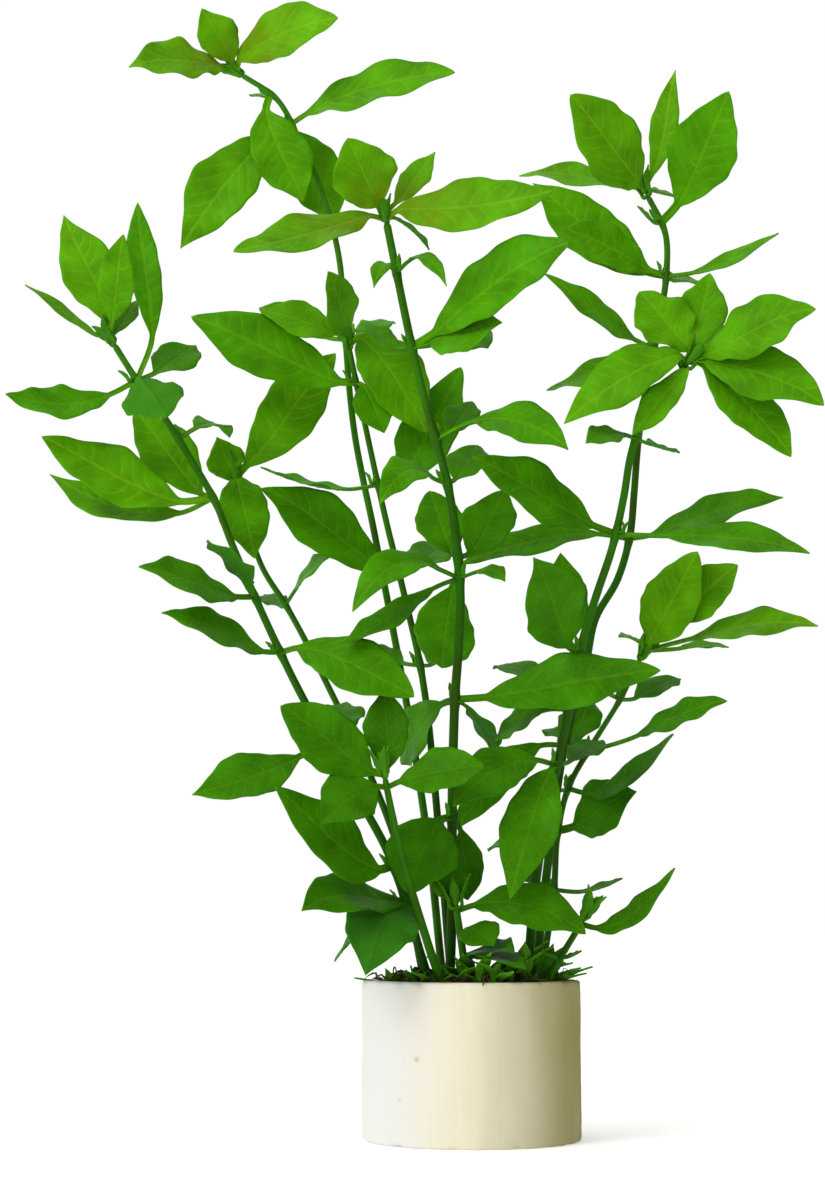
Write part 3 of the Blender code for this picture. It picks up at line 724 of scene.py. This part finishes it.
tree.links.new(bump[0], shader.inputs["Normal"])
shader.inputs["Subsurface Weight"].default_value = 0.08
shader.inputs["Subsurface Radius"].default_value = (0.5, 1.0, 0.15)
shader.inputs["Subsurface Scale"].default_value = 0.8 * MM

# %% Grow the stems
STEM_SIDES = 16
STEM_SQUARE = 0.06
STEM_FINE = 0.9
STEM_STEP = 0.9
NODE_SWELL = 0.25
NODE_LENGTH = 1.2
YOUTHS = (0.05, 0.75)
SHORT_YOUTHS = (0.3, 0.8)
PALE_YOUTHS = {"shoot_3": (0.7, 0.95)}


def grow_stem(growth, line, radii, nodes, youths, seed):
    """Adds a stem along a line, swollen at its nodes. The youths are its foot's and tip's."""
    knots_at = run_length(line)
    at = np.linspace(0, knots_at[-1], max(12, int(knots_at[-1] / STEM_STEP)))
    centre = through(knots_at, line, at)
    radius = np.interp(at, knots_at, radii) * STEM_FINE
    for node in nodes:
        gap = np.linalg.norm(centre - node, axis=1)
        radius = radius * (1 + NODE_SWELL * np.exp(-((gap / NODE_LENGTH) ** 2)))
    radius[-1] *= 0.5
    along = unit(np.gradient(centre, at, axis=0))
    turn = np.arange(STEM_SIDES) / STEM_SIDES * math.tau
    square = 1 + STEM_SQUARE * np.cos(4 * turn)
    out = spokes(along, np.array([0.0, -1.0, 0.0]), STEM_SIDES)
    rings = centre[:, None] + out * (radius[:, None] * square[None])[..., None]
    place = np.empty_like(rings)
    place[..., 0] = np.cos(turn) * 3
    place[..., 1] = np.sin(turn) * 3
    place[..., 2] = at[:, None] * 0.25
    youth = np.interp(at / at[-1], (0, 1), youths)
    habit = np.stack([youth, np.full(len(at), float(seed)), np.zeros(len(at))], -1)[:, None]
    growth.add_tube(rings[:, ::-1], place[:, ::-1], habit)


for number, (shoot, (line, radii)) in enumerate(stems.items()):
    feet = []
    for name, (found, rest) in leafy.items():
        if name.startswith(shoot + "_leaves"):
            feet.append(nearest(line, rest.mean(0))[0])
    growth = Growth()
    youths = SHORT_YOUTHS if shoot in leafy else PALE_YOUTHS.get(shoot, YOUTHS)
    grow_stem(growth, line, radii, feet, youths, number)
    nodes = [] if shoot in leafy else [shoot + "_stem"]
    growth.piece(shoot + "_stalk", stem_material, "stem", nodes)
print("stems grown", len(stems))

# %% [markdown]
# ## The pot
#
# The pot is unglazed ceramic, extruded from a pale porous clay, cut to length and fired. It
# has straight sides, a crisp but slightly worn lip and drain holes in its floor. It could be a
# plain cylinder with bevels, but a profile turned round the axis in many small steps can
# follow the wear, so each point of the profile is moved a little by noise as it is turned.

# %% Pot shape
POT_TURNS = 192
POT_ROUND = 0.55
POT_WEAR = 0.09
CHIP = 0.9
CHIP_REACH = 1.4

_, pot_high = (np.array(end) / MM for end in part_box("ceramic_pot"))
pot_corners = in_mm(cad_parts["ceramic_pot"].data.vertices)
reach = np.hypot(pot_corners[:, 0], pot_corners[:, 1])
pot_radius, pot_height = reach.max(), pot_high[2]
pot_inner = reach[pot_corners[:, 2] > pot_height / 2].min()
plug_low, plug_high = (np.array(end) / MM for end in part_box("growing_plug"))
pot_floor = plug_low[2] - 0.3
print("pot radius, inner radius, height, floor", pot_radius, pot_inner, pot_height, pot_floor)


def corner(centre, start, turn, steps=5):
    """Points of a rounded corner of the profile, as radius and height."""
    x, y = centre
    angles = [math.radians(start + turn * k / steps) for k in range(steps + 1)]
    return [(x + POT_ROUND * math.cos(a), y + POT_ROUND * math.sin(a)) for a in angles]


def straight(start, end, step):
    """Evenly spaced points between two points of the profile, without its ends."""
    count = max(1, round(math.dist(start, end) / step))
    return [tuple(np.add(start, np.subtract(end, start) * k / count)) for k in range(1, count)]


def octaves(spot, *pairs):
    """A sum of noises at a spot, each given by its share and its scale."""
    return sum(share * noise.noise(spot * scale) for share, scale in pairs)


outer, inner = pot_radius - POT_ROUND, pot_inner + POT_ROUND
low, high = POT_ROUND, pot_height - POT_ROUND
outside = corner((outer, low), -90, 90)
lip = corner((outer, high), 0, 90) + corner((inner, high), 90, 90)
inside = corner((pot_inner - POT_ROUND, pot_floor + POT_ROUND), 0, -90)
profile = straight((1, 0), outside[0], 3) + outside + straight(outside[-1], lip[0], 0.7) + lip
profile += straight(lip[-1], inside[0], 0.9) + inside + straight(inside[-1], (1, pot_floor), 3)

growth = Growth()
profile = np.array([(1.0, 0.0), *profile, (1.0, pot_floor)])
turn = np.arange(POT_TURNS) / POT_TURNS * math.tau
rings = np.empty((len(profile), POT_TURNS, 3))
for row, (radius, z) in enumerate(profile):
    for k, angle in enumerate(turn):
        spot = Vector((radius * math.cos(angle), radius * math.sin(angle), z))
        rough = octaves(spot, (1, 0.16), (0.45, 0.7), (0.3, 2.1))
        edge = math.hypot(radius - pot_radius, min(z, abs(z - pot_height)))
        worn = max(0.0, noise.noise(spot * 0.45 + Vector((3, 7, 1)))) * CHIP
        worn *= max(0.0, 1 - edge / CHIP_REACH)
        out = radius - POT_WEAR * (1 + rough) * (radius > pot_inner - 1) - worn
        up = z + worn * (0.5 if z < 1 else -0.5)
        rings[row, k] = out * math.cos(angle), out * math.sin(angle), up
growth.add_tube(rings[:, ::-1], np.zeros(3), np.zeros(3))
print("pot rings", len(profile), "of", POT_TURNS, "corners")

# %% [markdown]
# Years of water leave the clay stained in soft clouds, warmer in places, and its grain runs up
# the pot, the way it left the extruder. Its left side, towards the light, is painted paler as
# painted light, and its right side, away from the light, is painted olive and patchy as painted
# shade. Each is a share that grows across the pot, so their edges are soft.

# %% Pot material
# The first colour below is painted light for the pot's lit left side, and the fifth is painted
# shade for its right side.
CERAMIC_PAINTED_LIGHT = linear("#d0cfcb")
CERAMIC = linear("#dad4be")
CERAMIC_WARM = linear("#d3cbaa")
CERAMIC_SPECK = linear("#8a8a48")
PAINTED_SHADE_OLIVE = linear("#8b8542")
GRAIN_ACROSS, GRAIN_UP = 1500, 60
CLOUD_ACROSS, CLOUD_UP = 90, 22
SPECK_SCALE = 110
PORE_SCALE = 2200

pot_material, tree, shader = finish_called("porous ceramic", 0.85, 1.5)
room = add(tree, "TexCoord")["Object"]
fine = {"Vector": room, "Scale": (GRAIN_ACROSS, GRAIN_ACROSS, GRAIN_UP)}
fine = add(tree, "Mapping", fine)[0]
streak = add(tree, "TexNoise", {"Vector": fine, "Scale": 1.0, "Detail": 3})[0]
tall = {"Vector": room, "Scale": (CLOUD_ACROSS, CLOUD_ACROSS, CLOUD_UP)}
tall = add(tree, "Mapping", tall)[0]
cloud = add(tree, "TexNoise", {"Vector": tall, "Scale": 1.0, "Detail": 2})[0]
warm = add(tree, "Math", {0: streak, 1: 0.6, 2: cloud}, operation="MULTIPLY_ADD")[0]
warm = add(tree, "MapRange", {0: warm, 1: 0.6, 2: 1.05, 3: 0, 4: 0.7})[0]
colour = add(tree, "Mix", {0: warm, 6: CERAMIC, 7: CERAMIC_WARM}, data_type="RGBA")[2]
spread = add(tree, "SeparateXYZ", {0: room})
# Painted light: the pot's left side, which faces the light, is made paler and greyer in its
# colour.
painted_light_side = {0: spread["X"], 1: -2 * MM, 2: -16 * MM, 3: 0, 4: 1}
painted_light_side = add(tree, "MapRange", painted_light_side, interpolation_type=SMOOTH)[0]
colour = add(tree, "Mix", {0: painted_light_side, 6: colour, 7: CERAMIC_PAINTED_LIGHT}, data_type="RGBA")[2]
# Painted shade: the pot's right side, away from the light, is made olive in its colour, patchy
# with the clouds.
painted_shade_side = add(tree, "MapRange", {0: spread["X"], 1: 0, 2: 20 * MM, 3: 0, 4: 1.5})[0]
patchy_shade = add(tree, "Math", {0: cloud, 1: 0.6, 2: 0.25}, operation="MULTIPLY_ADD")[0]
painted_shade_side = add(tree, "Math", {0: painted_shade_side, 1: patchy_shade}, operation="MULTIPLY")[0]
colour = add(tree, "Mix", {0: painted_shade_side, 6: colour, 7: PAINTED_SHADE_OLIVE}, data_type="RGBA")[2]
speck = add(tree, "TexVoronoi", {"Vector": room, "Scale": SPECK_SCALE})["Distance"]
speck = add(tree, "MapRange", {0: speck, 1: 0.07, 2: 0.03, 3: 0, 4: 0.45})[0]
colour = add(tree, "Mix", {0: speck, 6: colour, 7: CERAMIC_SPECK}, data_type="RGBA")[2]
tree.links.new(colour, shader.inputs["Base Color"])
pores = add(tree, "TexNoise", {"Vector": room, "Scale": PORE_SCALE, "Detail": 4})[0]
bump = add(tree, "Bump", {"Strength": 0.25, "Distance": 0.08 * MM, "Height": pores})
tree.links.new(bump[0], shader.inputs["Normal"])
shader.inputs["Specular IOR Level"].default_value = 0.1

pot = growth.piece("pot_body", pot_material, "ceramic", ["ceramic_pot"])
print("pot material nodes", len(tree.nodes))

# %% [markdown]
# The drain holes are cut with a punch while the clay is soft. Here a Boolean does the same, in
# the places where the underside of the model's pot has its own holes. Their corners are sorted
# into holes first: those that lie within a hole's width of each other belong together.

# %% Drains
HOLE_WIDTH = 5
PUNCH_DEPTH = 12

underside = pot_corners[(pot_corners[:, 2] < 0.01) & (reach < pot_inner - 2)]
drains = []
while len(underside):
    near = np.linalg.norm(underside - underside[0], axis=1) < HOLE_WIDTH
    drains.append(underside[near])
    underside = underside[~near]
punches = bmesh.new()
for rim in drains:
    size = {"segments": 40, "depth": PUNCH_DEPTH * MM, "radius1": 1, "radius2": 1}
    punch = bmesh.ops.create_cone(punches, cap_ends=True, **size)
    radius = np.linalg.norm(rim - rim.mean(0), axis=1).mean() * MM
    bmesh.ops.scale(punches, vec=(radius, radius, 1), verts=punch["verts"])
    bmesh.ops.translate(punches, vec=Vector(rim.mean(0) * MM), verts=punch["verts"])
punch_mesh = bpy.data.meshes.new("punches")
punches.to_mesh(punch_mesh)
punches.free()
punch = bpy.data.objects.new("punches", punch_mesh)
bpy.context.scene.collection.objects.link(punch)
cut = pot.modifiers.new("drains", "BOOLEAN")
cut.operation, cut.solver, cut.object = "DIFFERENCE", "EXACT", punch
drained = bpy.data.meshes.new_from_object(pot.evaluated_get(bpy.context.evaluated_depsgraph_get()))
pot.modifiers.clear()
pot.data = drained
bpy.data.objects.remove(punch)
print("drains", len(drains), "pot faces", len(pot.data.polygons))

# %% [markdown]
# ## The growing medium
#
# The cuttings are wrapped in a plug of mineral wool, which in use fills with roots, fine brown
# moss and crumbs of dead leaf. Only its top shows, about as high as the pot's lip. It is a
# disc that noise pushes up and down, and that falls away towards its edge.

# %% Growing medium
PLUG_RINGS = 34
PLUG_TURNS = 120
TOP_LIFT = 1.1
TOP_RISE = 1.5
TOP_DROP = 0.7
ROOT_DARK, ROOT_BROWN = linear("#1a1409"), linear("#453a1a")
MOSS_DARK, MOSS_GREEN = linear("#1c3a07"), linear("#40660f")

plug_material, tree, shader = finish_called("wet moss and roots", 0.9, 1.4)
shader.inputs["Specular IOR Level"].default_value = 0.2
room = add(tree, "TexCoord")["Object"]
habit = corner_values(tree, "habit")
mix = add(tree, "TexNoise", {"Vector": room, "Scale": 700, "Detail": 4})[0]
colour = add(tree, "Mix", {0: mix, 6: ROOT_DARK, 7: ROOT_BROWN}, data_type="RGBA")[2]
green = add(tree, "Mix", {0: mix, 6: MOSS_DARK, 7: MOSS_GREEN}, data_type="RGBA")[2]
colour = add(tree, "Mix", {0: habit["X"], 6: colour, 7: green}, data_type="RGBA")[2]
tree.links.new(colour, shader.inputs["Base Color"])
bump = add(tree, "Bump", {"Strength": 0.8, "Distance": 0.4 * MM, "Height": mix})
tree.links.new(bump[0], shader.inputs["Normal"])

plug_radius, plug_top = plug_high[0], plug_high[2]


def plug_height(x, y):
    """The height of the plug's uneven top over a point, and over the pot's wall the height
    of the lip."""
    out = math.hypot(x, y)
    if out > pot_inner:
        return pot_height + 0.1 - 0.8 * max(0.0, out - pot_radius + 0.6)
    rough = noise.noise(Vector((x, y, 0)) * 0.35) + 0.5 * noise.noise(Vector((x, y, 5)) * 1.1)
    return plug_top + TOP_RISE + TOP_LIFT * rough - TOP_DROP * (out / plug_radius) ** 4


growth = Growth()
profile = [(1.0, plug_low[2]), (plug_radius * 0.9, plug_low[2])]
profile += [(plug_radius, z) for z in np.linspace(plug_low[2] + 1.5, plug_top - 2.0, 12)]
rings = []
turn = np.arange(PLUG_TURNS) / PLUG_TURNS * math.tau
for radius, z in profile:
    rings.append([(radius * math.cos(a), radius * math.sin(a), z) for a in turn])
for radius in np.linspace(plug_radius, 0.4, PLUG_RINGS):
    spots = [(radius * math.cos(a), radius * math.sin(a)) for a in turn]
    rings.append([(x, y, plug_height(x, y)) for x, y in spots])
growth.add_tube(np.array(rings)[:, ::-1], np.zeros(3), np.zeros(3))
middle = plug_height(0, 0)
print("height of the plug's middle and of the lip", round(middle, 1), round(pot_height, 1))

# %% [markdown]
# Brown roots and green moss lie on the plug as short curled strands, and between them lie
# crumbs of dead leaf. A strand walks off in a random direction, bends as it goes, arches up
# and comes down again, and turns along the lip rather than hang far over it.

# %% Moss strands and crumbs
STRANDS = 520
STRAND_STEPS = 8
STRAND_SIDES = 6
STRAND_REACH = 0.4
STRAND_ARCH = 2.34
GREEN_STRANDS = 0.45
CRUMBS = 420
CRUMB_SIDES = 8
GREEN_CRUMBS = 0.3


def on_plug(dice, inset):
    """A random spot on the plug, no nearer to its edge than the inset, at height zero."""
    angle = dice.uniform(0, math.tau)
    return level(angle, (plug_radius - inset) * math.sqrt(dice.uniform(0.02, 1.0)))


def strand_line(dice):
    """The line of one strand over the plug's top."""
    line = [on_plug(dice, 0.4)]
    heading = dice.uniform(0, math.tau)
    bend = dice.uniform(-0.35, 0.35)
    step = dice.uniform(0.3, 0.65)
    farthest = pot_radius + STRAND_REACH
    for _ in range(STRAND_STEPS):
        heading += bend + dice.uniform(-0.3, 0.3)
        spot = line[-1] + level(heading, step)
        line.append(spot * min(1.0, farthest / math.hypot(spot[0], spot[1])))
    arch = dice.uniform(0.1, 1.0) ** 2 * STRAND_ARCH
    for k, spot in enumerate(line):
        rise = arch * math.sin(math.pi * k / STRAND_STEPS)
        spot[2] = plug_height(spot[0], spot[1]) + 0.05 + rise
    return np.array(line)


dice = np.random.default_rng(77)
for _ in range(STRANDS):
    line = strand_line(dice)
    radius = dice.uniform(0.1, 0.3)
    out = spokes(unit(np.gradient(line, axis=0)), UP, STRAND_SIDES)
    taper = np.sin(np.linspace(0.25, math.pi - 0.1, len(line)))[:, None, None]
    rings = line[:, None] + out * radius * taper
    habit = np.array([float(dice.uniform() < GREEN_STRANDS), 0.0, 0.0])
    growth.add_tube(rings[:, ::-1], np.zeros(3), habit)

turn = np.arange(CRUMB_SIDES) / CRUMB_SIDES * math.tau
for _ in range(CRUMBS):
    centre = on_plug(dice, 0.6)
    size = dice.uniform(0.2, 0.65)
    centre[2] = plug_height(centre[0], centre[1]) + size * 0.3
    rings = []
    for height in (-0.95, -0.5, 0.1, 0.6, 0.95):
        wide = math.sqrt(1 - height**2) * dice.uniform(0.7, 1.15, CRUMB_SIDES)
        flat = np.stack([np.cos(turn) * wide, np.sin(turn) * wide, np.zeros(CRUMB_SIDES)], -1)
        rings.append(centre + (flat + UP * height) * size)
    habit = np.array([float(dice.uniform() < GREEN_CRUMBS), 0.0, 0.0])
    growth.add_tube(np.array(rings)[:, ::-1], np.zeros(3), habit)
plug = growth.piece("growing_medium", plug_material, "plug", ["growing_plug"])
print("growing medium faces", len(plug.data.polygons))

# %% [markdown]
# ## Small leaves at the foot
#
# Among the moss stand many small leaves: fresh side shoots, and leaves that came off when the
# cuttings were bundled. Every third is longer and paler and stands towards the front, and one
# narrow leaf hangs over the lip. All of them are made as a bud's leaves are.

# %% Small leaves at the foot
FOOT_LEAVES = 130
LONGER_EVERY = 3
OVER_THE_LIP = 0
FOOT_INSET = 1.5

growth = Growth()
for number in range(FOOT_LEAVES):
    dice = np.random.default_rng([900, number])
    longer = number % LONGER_EVERY == 0
    angle = dice.normal(-1.0, 0.9) if longer else dice.uniform(0, math.tau)
    out = (plug_radius - FOOT_INSET) * dice.uniform(0.35, 1.0)
    heading = angle + dice.uniform(-1.6, 1.6)
    length = dice.uniform(5, 9.5) if longer else dice.uniform(1.6, 4)
    lean = dice.uniform(0.6, 1.3)
    half = length * 0.18
    if number == OVER_THE_LIP:
        angle, out, heading, lean = 3.3, plug_radius - FOOT_INSET, 3.2, 1.35
        half = length * 0.1
    foot = level(angle, out)
    foot[2] = plug_height(foot[0], foot[1]) + 0.1
    leaf = bud_leaf(foot, UP, level(heading), length, half, lean)
    grow_leaf(growth, leaf, foot, dice.uniform(0.1, 0.8) + 0.5 * longer, dice)
growth.piece("foot_leaves", leaf_material, "leaf", [])
print("leaves at the foot", FOOT_LEAVES)

# %% [markdown]
# ## Floor and light
#
# A plain pale floor under a bright sky, and one soft lamp. The sky is brighter from the left
# and much darker from the right, as beside a big window, which shades the pot across its
# width and turns the leaves' right sides darker. On the pot, that shade is also painted into
# its colour. The floor glows a little, so that it stays white all the way to the plant. The
# view is shown as it is, with no film-like curve.

# %% Floor
FLOOR_RADIUS = 4

floor_mesh = bpy.data.meshes.new("floor")
build = bmesh.new()
bmesh.ops.create_circle(build, cap_ends=True, segments=96, radius=FLOOR_RADIUS)
build.to_mesh(floor_mesh)
build.free()
floor = bpy.data.objects.new("floor", floor_mesh)
floor.location.z = cad_low.z
bpy.context.scene.collection.objects.link(floor)
floor_material, tree, shader = finish_called("matt white board", 0.9, 1.45)
shader.inputs["Base Color"].default_value = linear("#f4f4f2")
shader.inputs["Emission Color"].default_value = (1, 1, 1, 1)
shader.inputs["Emission Strength"].default_value = 0.3
floor_mesh.materials.append(floor_material)
floor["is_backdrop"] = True
print("floor radius in metres", FLOOR_RADIUS)

# %% Light
world = bpy.data.worlds.new("studio")
world.use_nodes = True
bpy.context.scene.world = world
tree = world.node_tree
sky = tree.nodes["Background"]
aim = add(tree, "SeparateXYZ", {0: add(tree, "TexCoord")["Generated"]})
from_left = add(tree, "MapRange", {0: aim["X"], 1: -0.3, 2: -0.8, 3: 1.0, 4: 1.25})[0]
to_right = add(tree, "MapRange", {0: aim["X"], 1: 0.25, 2: 0.75, 3: 1.0, 4: 0.22})[0]
strength = add(tree, "Math", {0: from_left, 1: to_right}, operation="MULTIPLY")[0]
tree.links.new(strength, sky.inputs["Strength"])
sky.inputs["Color"].default_value = (1, 1, 1, 1)

lamp_data = bpy.data.lights.new("soft lamp", "AREA")
lamp_data.shape = "DISK"
lamp_data.size = 0.5
lamp_data.energy = 4
lamp = bpy.data.objects.new("soft_lamp", lamp_data)
lamp.location = (-0.55, -0.6, 0.75)
aim = Vector((0, 0, 0.1)) - lamp.location
lamp.rotation_euler = aim.to_track_quat("-Z", "Y").to_euler()
bpy.context.scene.collection.objects.link(lamp)
bpy.context.scene.view_settings.view_transform = "Standard"
print("lamp in watts", lamp_data.energy)

# %% [markdown]
# ## The end
#
# The size of the finished plant is printed, so that a leaf or strand that reaches out too
# far shows at once.

# %% Sizes and the end
low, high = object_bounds()
print("visual box in mm", [round(v / MM, 1) for v in high - low])
